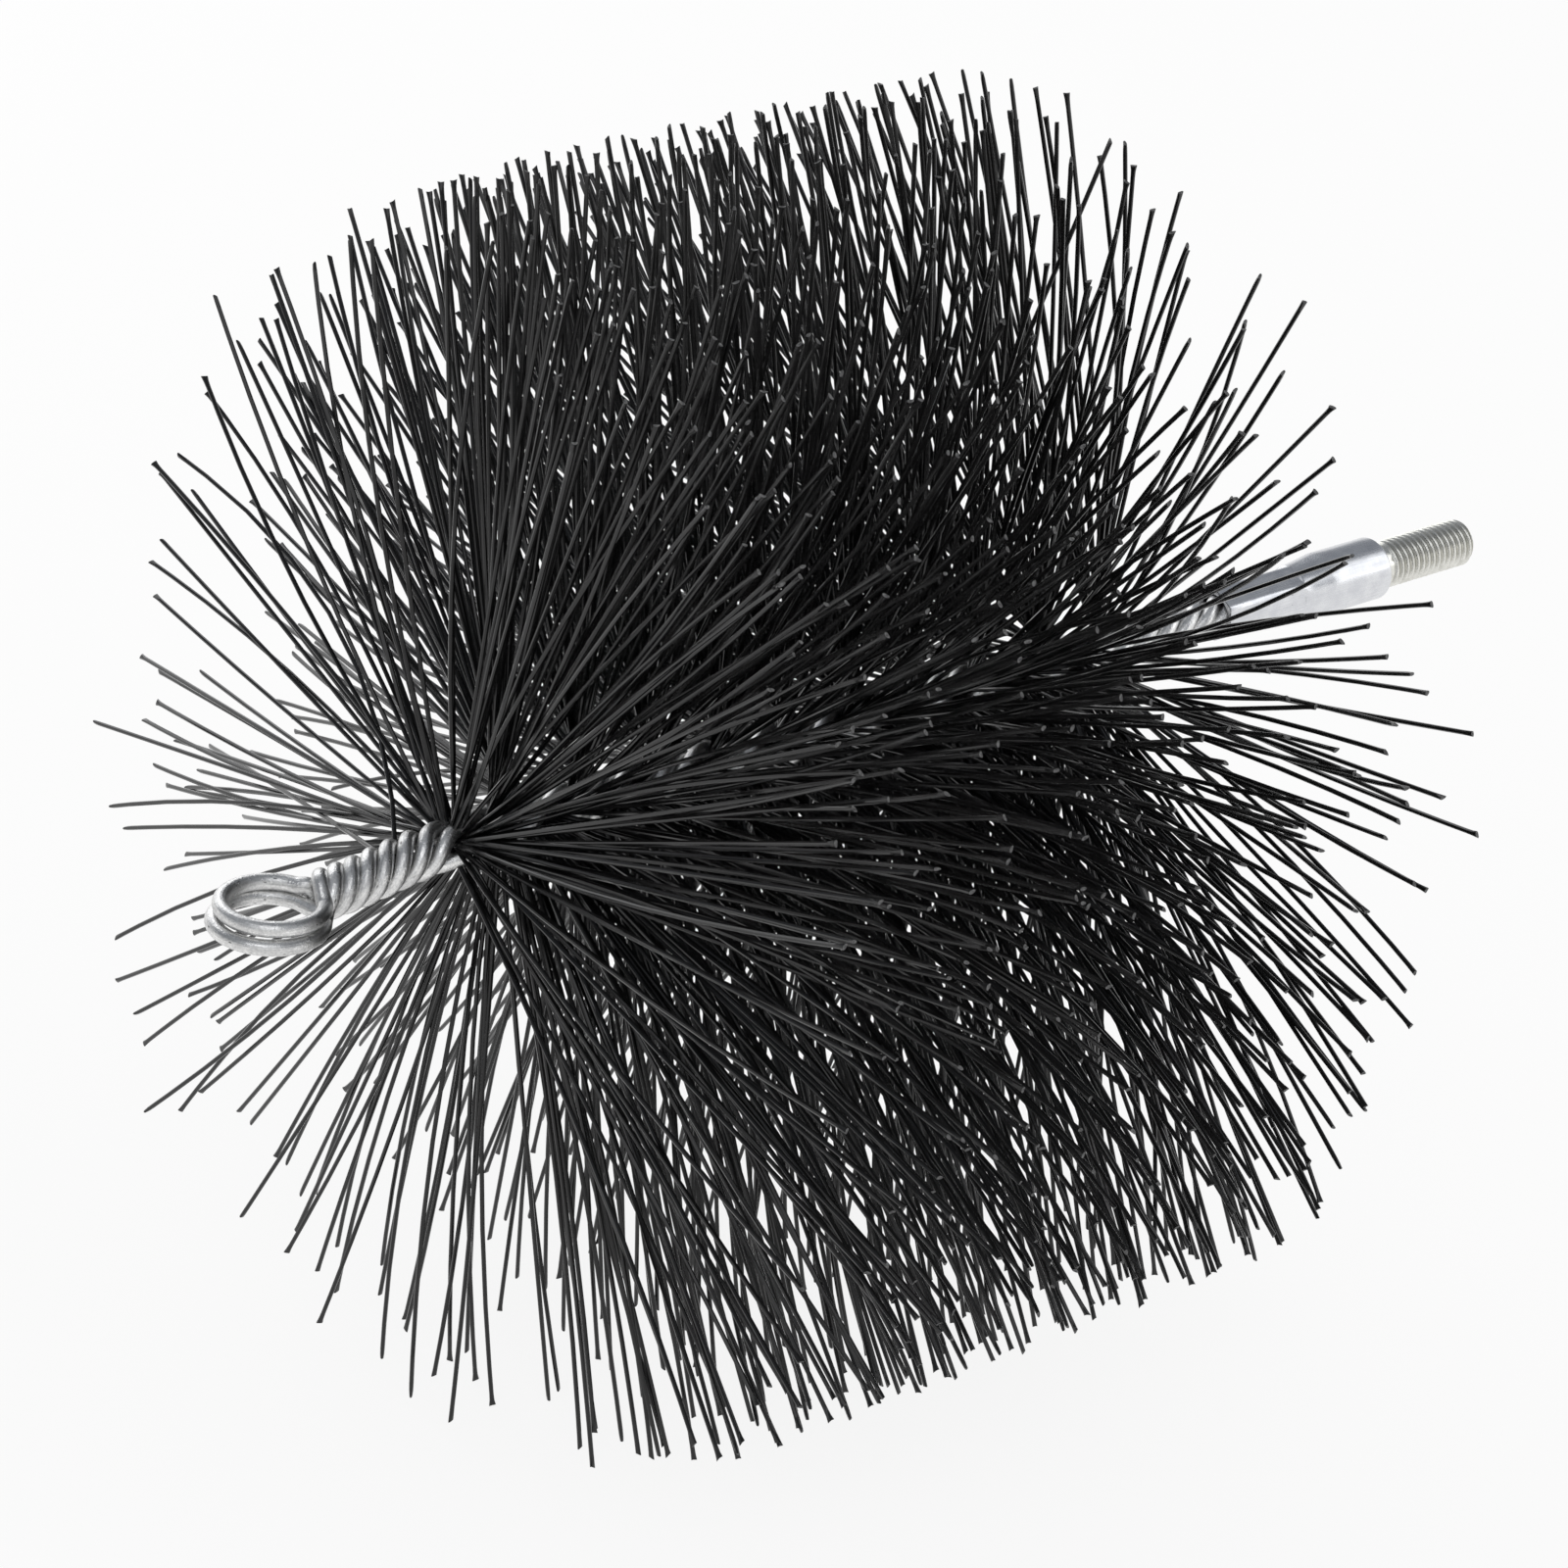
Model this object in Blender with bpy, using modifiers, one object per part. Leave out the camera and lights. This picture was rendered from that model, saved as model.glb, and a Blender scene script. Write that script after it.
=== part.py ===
"""Chimney sweep brush head, lying on its bristle tips with its axis along X.

Two steel wires are bent double round an eye and twisted together left-handed. The bristles lie
between the two pairs of strands, all the way through, and the twist holds them. A crimped ferrule
takes the four wire ends, and a threaded stud in it takes the sweep's rod.
"""
import math

import bmesh
import bpy
import numpy as np
from mathutils import Matrix, Vector

# Whole brush, in metres: the stem's stretches from the eye to the stud
tip_radius = 0.120
floor_cut = 0.0005
neck_length = 0.0265
bristle_length = 0.156
tail_length = 0.028
piece_clearance = 0.0003
merge_distance = 0.00001

# Wires, and how they twist
wire_diameter = 0.0026
strand_gap = 0.00057
wire_sides_resolution = 1
points_each_turn = 10
neck_turns = 1.775
neck_start_turn = math.radians(9)
bristle_pitch = 0.0312
slack_length = 0.030
slack_share = 0.636
tail_pitch = 0.021
ease_length = 0.004
grip_length = 0.022

# Eye at the end of the stem: two rings, one of each wire
eye_radius = 0.00935
eye_radius_step = 0.00029
eye_throat_length = 0.0099
eye_throat_step = 0.00031
eye_half_height = 0.00182
eye_sag = 0.00145
eye_drop = 0.0025
eye_roll = math.radians(4.8)
eye_tilt = math.radians(4)
eye_lead = math.radians(32)
eye_points = 20
bridge_points = 3

# Bristles
backing_thickness = 0.0016
backing_width = 0.0062
backing_cuts = 2
tuft_count = 20
filaments_each_tuft = 12
bristle_sides = 3
bristle_root_radius = 0.0003
bristle_tip_radius = 0.00062
bristle_root_reach = 0.0026
lean_scatter = math.radians(1.5)
swing_scatter = math.radians(1.5)
scatter_step_share = 0.618

# How far the bristles lean towards the stud, in degrees, by the way that they point round the
# stem, counted from +Y by way of the top. The first turn is pushed aside more than what follows.
lean_ways = (0, 60, 120, 180, 240, 300, 360)
first_lean = (5, 14.5, 3, 11, 4, -10, 5)
front_lean = (11, 5.5, 2, 2, 2, 8, 11)
back_lean = (-6.5, -8, -15, -12, -6, -4.5, -6.5)
first_lean_share = 0.10

# Ferrule
ferrule_length = 0.0437
crimp_length = 0.0204
crimp_flats = 0.0102
crimp_corner_radius = 0.00565
shoulder_taper_length = 0.008
collar_radius = 0.00655
collar_chamfer = 0.0005
mouth_chamfer = 0.0003
stud_bore_depth = 0.020
ferrule_segments = 36
die_overrun = 0.002

# Threaded stud
thread_diameter = 0.010
thread_pitch = 0.0015
thread_depth = 0.00092
thread_length = 0.0234
shank_diameter = 0.0093
relief_length = 0.0026
shank_length = 0.018
shank_chamfer = 0.0005
stud_end_chamfer = 0.0011
thread_segments = 20
thread_rows_share = (0.0, 0.125, 0.5, 0.625)

# Places along the stem
eye_span = eye_throat_length + eye_throat_step + eye_radius + eye_radius_step
eye_reach = (eye_span * math.cos(eye_tilt) + eye_half_height * math.sin(eye_tilt)
             + wire_diameter / 2)
stud_length = relief_length + thread_length
whole_length = eye_reach + neck_length + bristle_length + tail_length + ferrule_length + stud_length
throat_x = eye_reach - whole_length / 2
first_x = throat_x + neck_length
last_x = first_x + bristle_length
mouth_x = last_x + tail_length
shoulder_x = mouth_x + ferrule_length
wire_end_x = mouth_x + grip_length
axis_height = tip_radius - floor_cut


def clear_scene():
    """Removes every object that the scene starts with."""
    for thing in list(bpy.data.objects):
        bpy.data.objects.remove(thing, do_unlink=True)


def new_collection(name):
    """A collection linked to the scene."""
    collection = bpy.data.collections.new(name)
    bpy.context.scene.collection.children.link(collection)
    return collection


def new_material(name, colour, roughness, metallic):
    """A Principled material of one colour."""
    material = bpy.data.materials.new(name)
    material.use_nodes = True
    shader = material.node_tree.nodes["Principled BSDF"]
    shader.inputs["Base Color"].default_value = (*colour, 1.0)
    shader.inputs["Roughness"].default_value = roughness
    shader.inputs["Metallic"].default_value = metallic
    material.diffuse_color = (*colour, 1.0)
    return material


def add_object(name, mesh, collection, material=None):
    """An object of its own for a mesh, in the collection given."""
    thing = bpy.data.objects.new(name, mesh)
    collection.objects.link(thing)
    if material:
        mesh.materials.append(material)
    return thing


def mesh_from(bm, name):
    """Turns a bmesh into a mesh whose faces point out."""
    bmesh.ops.recalc_face_normals(bm, faces=bm.faces)
    mesh = bpy.data.meshes.new(name)
    bm.to_mesh(mesh)
    bm.free()
    return mesh


def add_cutter(name, mesh):
    """A hidden tool object that only shapes others."""
    tool = add_object(name, mesh, tools)
    tool.hide_render = True
    tool.display_type = "WIRE"
    return tool


def add_boolean(thing, tool, operation):
    """Joins or cuts a piece with a tool."""
    modifier = thing.modifiers.new(tool.name, "BOOLEAN")
    modifier.operation = operation
    modifier.solver = "EXACT"
    modifier.object = tool


def strand_distance(radius, pitch):
    """Least distance between the middles of two neighbours among four strands twisted at a pitch."""
    lags = np.linspace(0, math.pi / 2, 200)
    across = 2 * radius ** 2 * (1 - np.cos(lags))
    along = (pitch / math.tau * (math.pi / 2 - lags)) ** 2
    return math.sqrt((across + along).min())


def bundle_radius(pitch):
    """Radius on which four strands lie side by side at a pitch, with the gap between them."""
    low = wire_diameter / 2
    high = 2 * (wire_diameter + strand_gap)
    for _ in range(40):
        middle = (low + high) / 2
        if strand_distance(middle, pitch) < wire_diameter + strand_gap:
            low = middle
        else:
            high = middle
    return high


def spread_pair():
    """Half spacings of the strands where the bristles lie between the two pairs."""
    beside = (wire_diameter + strand_gap) / 2
    apart = (backing_thickness + wire_diameter) / 2 + piece_clearance
    for _ in range(4):
        slope = math.tau * math.hypot(beside, apart) / bristle_pitch
        stretch = math.hypot(1, slope)
        radius = math.hypot(beside, apart)
        side_reach = math.hypot(beside / radius, apart / radius * stretch)
        out_reach = math.hypot(apart / radius, beside / radius * stretch)
        beside = (wire_diameter * side_reach + strand_gap) / 2
        apart = (backing_thickness + wire_diameter * out_reach + strand_gap) / 2 + piece_clearance
    return beside, apart


def stem_tables():
    """Turns made, and the strands' half spacings, at places along the stem.

    The twist is slack where the bristles begin, and reaches its full rate further on.
    """
    full_rate = 1 / bristle_pitch
    slack_rate = full_rate * slack_share
    neck_rate = (neck_turns - ease_length * slack_rate / 2) / (neck_length - ease_length / 2)
    beside, apart = spread_pair()
    neck_half = bundle_radius(1 / neck_rate) / math.sqrt(2)
    tail_half = bundle_radius(tail_pitch) / math.sqrt(2)
    knots = [throat_x, first_x - ease_length, first_x, last_x, last_x + ease_length, wire_end_x]
    places = np.linspace(throat_x, wire_end_x, 6000)
    tail_rate = 1 / tail_pitch
    rate_knots = knots[:3] + [first_x + slack_length] + knots[3:]
    rates = np.interp(places, rate_knots, [neck_rate, neck_rate, slack_rate, full_rate, full_rate,
                                           tail_rate, tail_rate])
    steps = (rates[1:] + rates[:-1]) / 2 * np.diff(places)
    turns = np.concatenate([[0.0], np.cumsum(steps)])
    besides = np.interp(places, knots, [neck_half, neck_half, beside, beside, tail_half, tail_half])
    aparts = np.interp(places, knots, [neck_half, neck_half, apart, apart, tail_half, tail_half])
    return places, turns, besides, aparts


def stem_axis(x):
    """Middle of the stem and its slope: straight, but bent down a little towards the eye."""
    share = min(max((first_x - x) / neck_length, 0.0), 1.0)
    drop = eye_drop * share * share * (3 - 2 * share)
    slope = math.atan(eye_drop * 6 * share * (1 - share) / neck_length)
    return Vector((x, 0.0, axis_height - drop)), slope


def stem_frame(x):
    """The stem's middle, the way its bristles point and the way between its pairs, at a place."""
    middle, slope = stem_axis(x)
    turns = np.interp(x, stem_places, stem_turns)
    angle = math.pi / 2 + neck_start_turn - math.tau * turns
    tilt = Matrix.Rotation(-slope, 3, "Y")
    out = tilt @ Vector((0.0, math.cos(angle), math.sin(angle)))
    across = tilt @ Vector((0.0, -math.sin(angle), math.cos(angle)))
    return middle, out, across


def strand_point(x, level, side):
    """A point of one strand: level is the wire, above or below, and side the pair it lies in.

    The points stand out a little, so that the straight runs between them keep the true radius.
    """
    middle, out, across = stem_frame(x)
    stand_out = 1 / math.cos(math.pi / points_each_turn)
    beside = np.interp(x, stem_places, stem_besides) * stand_out
    apart = np.interp(x, stem_places, stem_aparts) * stand_out
    return middle + out * (beside * level) + across * (apart * side)


def eye_point(angle, level):
    """A point of one ring of the eye, by its angle round from the throat.

    The rings hang a little below the neck, and the lower one is larger and reaches further out.
    """
    out = Vector((0.0, -math.sin(eye_roll), math.cos(eye_roll)))
    across = Vector((0.0, -math.cos(eye_roll), -math.sin(eye_roll)))
    ahead = Vector((-1.0, 0.0, 0.0)) * math.cos(eye_tilt) + out * math.sin(eye_tilt)
    normal = out * math.cos(eye_tilt) + Vector((1.0, 0.0, 0.0)) * math.sin(eye_tilt)
    radius = eye_radius - eye_radius_step * level
    throat = eye_throat_length - eye_throat_step * level
    centre = stem_frame(throat_x)[0] - out * eye_sag + ahead * throat
    centre += normal * (eye_half_height * level)
    return centre - ahead * (radius * math.cos(angle)) + across * (radius * math.sin(angle))


def bridge(start, start_way, end, end_way):
    """Points between two others on a smooth curve that leaves and arrives in the ways given."""
    reach = (end - start).length
    points = []
    for step in range(1, bridge_points + 1):
        t = step / (bridge_points + 1)
        at_start = 2 * t ** 3 - 3 * t ** 2 + 1
        at_end = 1 - at_start
        leave = t ** 3 - 2 * t ** 2 + t
        arrive = t ** 3 - t ** 2
        ways = start_way.normalized() * (leave * reach) + end_way.normalized() * (arrive * reach)
        points.append(start * at_start + end * at_end + ways)
    return points


def wire_points(level):
    """The whole path of one wire: up one strand, round the eye and back down the other."""
    count = int(stem_turns[-1] * points_each_turn)
    marks = np.linspace(0, stem_turns[-1], count + 1)
    stations = [float(x) for x in np.interp(marks, stem_turns, stem_places)]
    near = [strand_point(x, level, 1) for x in reversed(stations)]
    far = [strand_point(x, level, -1) for x in stations]
    angles = np.linspace(eye_lead, math.tau - eye_lead, eye_points)
    ring = [eye_point(float(angle), level) for angle in angles]
    entry = bridge(near[-1], near[-1] - near[-2], ring[0], ring[1] - ring[0])
    leave = bridge(ring[-1], ring[-1] - ring[-2], far[0], far[1] - far[0])
    return near + entry + ring + leave + far, len(near)


def least_gap(points, strand_count):
    """Least free gap between a wire's two strands, measured on points."""
    near = np.array([tuple(p) for p in points[:strand_count]])
    far = np.array([tuple(p) for p in points[-strand_count:]])
    starts, ends = far[:-1], far[1:]
    runs = ends - starts
    least = math.inf
    for point in near:
        shares = np.clip(((point - starts) * runs).sum(1) / (runs ** 2).sum(1), 0, 1)
        least = min(least, np.linalg.norm(starts + runs * shares[:, None] - point, axis=1).min())
    return least - wire_diameter


def make_wire(name, level, material):
    """One wire as a round tube along its path, with closed ends."""
    points, strand_count = wire_points(level)
    curve = bpy.data.curves.new(name, "CURVE")
    curve.dimensions = "3D"
    curve.bevel_depth = wire_diameter / 2
    curve.bevel_resolution = wire_sides_resolution
    curve.use_fill_caps = True
    spline = curve.splines.new("POLY")
    spline.points.add(len(points) - 1)
    for target, point in zip(spline.points, points):
        target.co = (*point, 1.0)
    print(name, "least gap to itself", round(least_gap(points, strand_count) * 1000, 2), "mm")
    return add_object(name, curve, parts, material)


def scatter(number):
    """An even scatter between -1 and 1 that repeats each run."""
    return 2 * ((number * scatter_step_share) % 1) - 1


def backing_mesh(name, start_x, end_x):
    """A slice of the packed filaments between the pairs: a box twisted with the stem."""
    bm = bmesh.new()
    bmesh.ops.create_cube(bm, size=1)
    size = Vector((end_x - start_x, backing_width, backing_thickness))
    bmesh.ops.transform(bm, matrix=Matrix.Diagonal((*size, 1)), verts=bm.verts)
    for cut in range(1, backing_cuts + 1):
        place = size.x * (cut / (backing_cuts + 1) - 1 / 2)
        geometry = bm.verts[:] + bm.edges[:] + bm.faces[:]
        bmesh.ops.bisect_plane(bm, geom=geometry, plane_co=(place, 0, 0), plane_no=(1, 0, 0))
    bmesh.ops.triangulate(bm, faces=bm.faces)
    for vert in bm.verts:
        middle, out, across = stem_frame(vert.co.x + (start_x + end_x) / 2)
        vert.co = middle + out * vert.co.y + across * vert.co.z
    return mesh_from(bm, name)


def add_bristle(bm, root, tip):
    """One bristle as a slim cone, thin at its root and wider at its cut tip."""
    run = tip - root
    turn = run.to_track_quat("Z", "Y").to_matrix().to_4x4()
    place = Matrix.Translation((root + tip) / 2) @ turn
    bmesh.ops.create_cone(bm, cap_ends=True, segments=bristle_sides, radius1=bristle_root_radius,
                          radius2=bristle_tip_radius, depth=run.length, matrix=place)


def bristle_lean(way, share):
    """How far a bristle leans towards the stud, by the way it points and its share of the length."""
    degrees = math.degrees(math.atan2(way.z, way.y)) % 360
    first, front, back = (np.interp(degrees, lean_ways, lean)
                          for lean in (first_lean, front_lean, back_lean))
    pushed = math.exp(-share / first_lean_share)
    return math.radians(first * pushed + front * (1 - pushed) * (1 - share) + back * share)


def bristle_ends(x, side, number):
    """Root and tip of a bristle: it leans along the stem and ends on the trimmed cylinder."""
    middle, out, across = stem_frame(x)
    swing = swing_scatter * scatter(number)
    way = (out * math.cos(swing) + across * math.sin(swing)) * side
    lean = bristle_lean(way, (x - first_x) / bristle_length)
    lean += lean_scatter * scatter(number * 3 + side)
    root = middle + out * (bristle_root_reach * side)
    tip = middle + way * tip_radius + Vector((tip_radius * math.tan(lean), 0, 0))
    return root, tip


def make_tuft(number, material):
    """A slice of the backing with the bristles that pass through it, joined into one solid."""
    name = f"bristle_tuft_{number + 1:02d}"
    slice_length = bristle_length / tuft_count
    start_x = first_x + number * slice_length + piece_clearance / 2
    end_x = start_x + slice_length - piece_clearance
    tuft = add_object(name, backing_mesh(name, start_x, end_x), parts, material)
    bm = bmesh.new()
    for place in range(filaments_each_tuft):
        x = first_x + slice_length * (number + (place + 1 / 2) / filaments_each_tuft)
        for side in (1, -1):
            root, tip = bristle_ends(x, side, number * filaments_each_tuft + place)
            add_bristle(bm, root, tip)
    add_boolean(tuft, add_cutter(f"{name}_bristles", mesh_from(bm, f"{name}_bristles")), "UNION")
    add_boolean(tuft, floor_tool, "DIFFERENCE")
    return tuft


def make_floor_tool():
    """A block under the brush that cuts the lowest bristle tips flat."""
    bm = bmesh.new()
    bmesh.ops.create_cube(bm, size=1)
    block = Vector((bristle_length + 2 * tip_radius, 2 * tip_radius, tip_radius))
    bmesh.ops.transform(bm, matrix=Matrix.Diagonal((*block, 1)), verts=bm.verts)
    tool = add_cutter("floor_tool", mesh_from(bm, "floor_tool"))
    tool.location = ((first_x + last_x) / 2, 0, -block.z / 2)
    return tool


def turned_mesh(name, outline):
    """A closed outline of radius and place, top to bottom down its outer side, to be turned."""
    bm = bmesh.new()
    corners = [bm.verts.new((radius, 0, place)) for radius, place in outline]
    for corner, following in zip(corners, corners[1:] + corners[:1]):
        bm.edges.new((corner, following))
    mesh = bpy.data.meshes.new(name)
    bm.to_mesh(mesh)
    bm.free()
    return mesh


def add_screw(thing, segments):
    """Turns an outline round the object's own Z axis."""
    modifier = thing.modifiers.new("turned", "SCREW")
    modifier.axis = "Z"
    modifier.steps = segments
    modifier.render_steps = segments
    modifier.use_merge_vertices = True
    modifier.merge_threshold = merge_distance
    modifier.use_normal_calculate = True


def make_crimp_die():
    """A round block with a six-sided hole, which presses the flats on the ferrule."""
    bm = bmesh.new()
    depth = crimp_length + die_overrun
    bmesh.ops.create_cone(bm, cap_ends=True, segments=ferrule_segments, radius1=2 * collar_radius,
                          radius2=2 * collar_radius, depth=depth)
    die = add_cutter("crimp_die", mesh_from(bm, "crimp_die"))
    bm = bmesh.new()
    corner = crimp_flats / 2 / math.cos(math.pi / 6)
    bmesh.ops.create_cone(bm, cap_ends=True, segments=6, radius1=corner, radius2=corner,
                          depth=depth + 2 * die_overrun)
    hole = add_cutter("crimp_die_hole", mesh_from(bm, "crimp_die_hole"))
    add_boolean(die, hole, "DIFFERENCE")
    for tool in (die, hole):
        tool.rotation_euler = (0, math.pi / 2, 0)
        tool.location = (mouth_x + (crimp_length - die_overrun) / 2, 0, axis_height)
    return die


def make_ferrule(material):
    """The ferrule: a turned sleeve, bored for the wires and the stud, pressed to six flats."""
    wire_bore = bundle_radius(tail_pitch) + wire_diameter / 2 + piece_clearance
    stud_bore = shank_diameter / 2 + piece_clearance
    step = ferrule_length - stud_bore_depth
    outline = [
        (collar_radius - collar_chamfer, ferrule_length),
        (collar_radius, ferrule_length - collar_chamfer),
        (collar_radius, crimp_length + shoulder_taper_length),
        (crimp_corner_radius, crimp_length),
        (crimp_corner_radius, mouth_chamfer),
        (crimp_corner_radius - mouth_chamfer, 0),
        (wire_bore + mouth_chamfer, 0),
        (wire_bore, mouth_chamfer),
        (wire_bore, step),
        (stud_bore, step),
        (stud_bore, ferrule_length),
    ]
    ferrule = add_object("ferrule", turned_mesh("ferrule", outline), parts, material)
    ferrule.rotation_euler = (0, math.pi / 2, 0)
    ferrule.location = (mouth_x, 0, axis_height)
    add_screw(ferrule, ferrule_segments)
    add_boolean(ferrule, make_crimp_die(), "DIFFERENCE")
    return ferrule


def thread_radius(turns):
    """Radius of the thread by its place, counted in pitches: flat crests and flat roots."""
    rows = thread_rows_share
    crest = thread_diameter / 2
    radii = [crest, crest, crest - thread_depth, crest - thread_depth, crest]
    return float(np.interp(turns % 1, [*rows, 1.0], radii))


def make_stud(material):
    """The stud: a plain shank, then a right-hand thread whose rows climb with its pitch."""
    bm = bmesh.new()
    rows_each_pitch = len(thread_rows_share)
    start = relief_length
    end = relief_length + thread_length

    def row_places():
        for pitch in range(-1, math.ceil(thread_length / thread_pitch) + 1):
            for share in thread_rows_share:
                yield pitch + share

    def thread_vert(place, share):
        along = start + (place + share) * thread_pitch
        if along <= start:
            return shank_diameter / 2, start
        if along >= end:
            return thread_diameter / 2 - stud_end_chamfer, end
        limit_in = shank_diameter / 2 + (along - start)
        limit_out = thread_diameter / 2 - stud_end_chamfer + (end - along)
        return min(thread_radius(place), limit_in, limit_out), along

    def ring(radius, along):
        angles = [math.tau * column / thread_segments for column in range(thread_segments)]
        return [bm.verts.new((radius * math.cos(a), radius * math.sin(a), along)) for a in angles]

    rear = ring(shank_diameter / 2 - shank_chamfer, -shank_length)
    step = ring(shank_diameter / 2, shank_chamfer - shank_length)
    rows = []
    for place in row_places():
        row = []
        for column in range(thread_segments):
            share = column / thread_segments
            radius, along = thread_vert(place, share)
            angle = math.tau * share
            row.append(bm.verts.new((radius * math.cos(angle), radius * math.sin(angle), along)))
        rows.append(row)
    for lower, upper in ((rear, step), (step, rows[0])):
        for column in range(thread_segments):
            after = (column + 1) % thread_segments
            bm.faces.new((lower[column], lower[after], upper[after], upper[column]))
    for number in range(len(rows) - 1):
        for column in range(thread_segments - 1):
            bm.faces.new((rows[number][column], rows[number][column + 1],
                          rows[number + 1][column + 1], rows[number + 1][column]))
        if number + 1 + rows_each_pitch < len(rows):
            bm.faces.new((rows[number][-1], rows[number + rows_each_pitch][0],
                          rows[number + 1 + rows_each_pitch][0], rows[number + 1][-1]))
    bmesh.ops.remove_doubles(bm, verts=bm.verts, dist=merge_distance)
    bmesh.ops.dissolve_degenerate(bm, edges=bm.edges, dist=merge_distance)
    bmesh.ops.holes_fill(bm, edges=[edge for edge in bm.edges if edge.is_boundary], sides=0)
    stud = add_object("threaded_stud", mesh_from(bm, "threaded_stud"), parts, material)
    stud.rotation_euler = (0, math.pi / 2, 0)
    stud.location = (shoulder_x, 0, axis_height)
    return stud


def shade(thing):
    """Smooth shading on round surfaces, with the sharp corners kept."""
    if thing.type == "MESH":
        thing.data.shade_smooth()
        thing.data.set_sharp_from_angle(angle=math.radians(35))


clear_scene()
parts = new_collection("chimney_sweep_brush")
tools = new_collection("shaping_tools")
stem_places, stem_turns, stem_besides, stem_aparts = stem_tables()
floor_tool = make_floor_tool()

steel = new_material("galvanised_wire", (0.52, 0.52, 0.51), 0.35, 1.0)
aluminium = new_material("ferrule_aluminium", (0.78, 0.79, 0.81), 0.25, 1.0)
zinc = new_material("stud_zinc", (0.72, 0.71, 0.66), 0.3, 1.0)
plastic = new_material("bristle_plastic", (0.012, 0.012, 0.013), 0.4, 0.0)

make_wire("wire_a", 1, steel)
make_wire("wire_b", -1, steel)
shade(make_ferrule(aluminium))
shade(make_stud(zinc))
for tuft_number in range(tuft_count):
    make_tuft(tuft_number, plastic)
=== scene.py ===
"""Looks of a chimney sweep brush head: camera, studio, twisted wires, ferrule, stud and bristles.

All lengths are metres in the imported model's frame: the stem lies along X and the floor is Z = 0.
"""
import math

import bpy
import numpy as np
from mathutils import Matrix, Vector


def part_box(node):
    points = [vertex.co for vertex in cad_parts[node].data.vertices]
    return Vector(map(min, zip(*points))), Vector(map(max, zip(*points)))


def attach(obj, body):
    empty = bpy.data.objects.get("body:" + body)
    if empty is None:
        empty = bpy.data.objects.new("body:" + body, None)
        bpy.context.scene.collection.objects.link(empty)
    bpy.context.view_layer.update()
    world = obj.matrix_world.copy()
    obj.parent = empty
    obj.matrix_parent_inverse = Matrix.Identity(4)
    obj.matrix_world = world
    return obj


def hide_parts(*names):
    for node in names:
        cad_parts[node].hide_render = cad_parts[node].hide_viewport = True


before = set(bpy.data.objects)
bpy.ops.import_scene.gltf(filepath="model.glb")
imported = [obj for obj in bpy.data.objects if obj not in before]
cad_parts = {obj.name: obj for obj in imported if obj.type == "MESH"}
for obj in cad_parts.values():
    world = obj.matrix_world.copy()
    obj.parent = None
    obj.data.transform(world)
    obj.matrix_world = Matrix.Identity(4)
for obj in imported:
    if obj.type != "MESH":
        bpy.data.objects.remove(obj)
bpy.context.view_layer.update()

# Stem. Its stretches follow one another from the eye to the stud: a bare twisted neck, the part
# that holds the bristles, a bare tail, the ferrule and the stud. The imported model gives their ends.
neck_length = 0.0265
bristle_length = 0.156
tail_length = 0.028
mouth_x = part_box("ferrule")[0].x
shoulder_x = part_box("ferrule")[1].x
stud_end_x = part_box("threaded_stud")[1].x
axis_height = (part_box("ferrule")[0].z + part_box("ferrule")[1].z) / 2
last_x = mouth_x - tail_length
first_x = last_x - bristle_length
throat_x = first_x - neck_length

# Camera. The photograph looks down along the stem from the eye's side with a long lens; the first
# bristles' root is set on its place in the picture, at the distance that gives the brush its size.
photo_side = 1600
focal_pixels = 4400
sensor_millimetres = 36
camera_turn = math.radians(-36.9)
camera_drop = math.radians(24.05)
first_root_pixel_x = 455
first_root_pixel_y = 862
first_root_distance = 0.770
camera_clip_start = 0.01

look = Vector((-math.sin(camera_turn) * math.cos(camera_drop),
               math.cos(camera_turn) * math.cos(camera_drop),
               -math.sin(camera_drop)))
picture_right = Vector((math.cos(camera_turn), math.sin(camera_turn), 0))
picture_up = picture_right.cross(look)
pixel_way = (look
             + picture_right * ((first_root_pixel_x - photo_side / 2) / focal_pixels)
             + picture_up * ((photo_side / 2 - first_root_pixel_y) / focal_pixels))
camera = bpy.data.objects.new("camera", bpy.data.cameras.new("camera"))
bpy.context.scene.collection.objects.link(camera)
camera.data.sensor_width = sensor_millimetres
camera.data.lens = sensor_millimetres * focal_pixels / photo_side
camera.data.clip_start = camera_clip_start
camera.location = Vector((first_x, 0, axis_height)) - pixel_way * first_root_distance
camera.rotation_euler = look.to_track_quat("-Z", "Y").to_euler()
bpy.context.scene.camera = camera
bpy.context.scene.view_settings.view_transform = "Standard"

# Studio. A white sweep of paper under and behind the brush, lit by a pale room and three large
# soft lamps. The paper and the room look white to the camera and in the metal, and keep the shadow.
floor_size = 14.0
floor_colour = (0.95, 0.95, 0.95, 1.0)
floor_roughness = 0.9
floor_gloss = 0.1
floor_white_share = 0.88
room_white = (1.0, 1.0, 1.0, 1.0)
room_light = 0.50
room_top = (0.26, 0.275, 0.30, 1.0)
room_white_height = 0.15
room_dark_height = 0.34

# Each lamp's name, place, width and power.
lamps = (
    ("lamp_key", (-0.9, -1.1, 1.5), 1.4, 7.0),
    ("lamp_fill", (1.3, -0.9, 0.9), 1.2, 5.5),
    ("lamp_back", (0.2, 1.5, 1.1), 1.5, 10.0),
)


def set_input(tree, socket, value):
    """Sets a node's input to a plain value, or joins another node's output to it."""
    if isinstance(value, bpy.types.NodeSocket):
        tree.links.new(value, socket)
    else:
        socket.default_value = value


def add_math(tree, operation, first, second):
    """A Math node on two values, each a number or a node's output."""
    node = tree.nodes.new("ShaderNodeMath")
    node.operation = operation
    set_input(tree, node.inputs[0], first)
    set_input(tree, node.inputs[1], second)
    return node.outputs[0]


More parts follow.
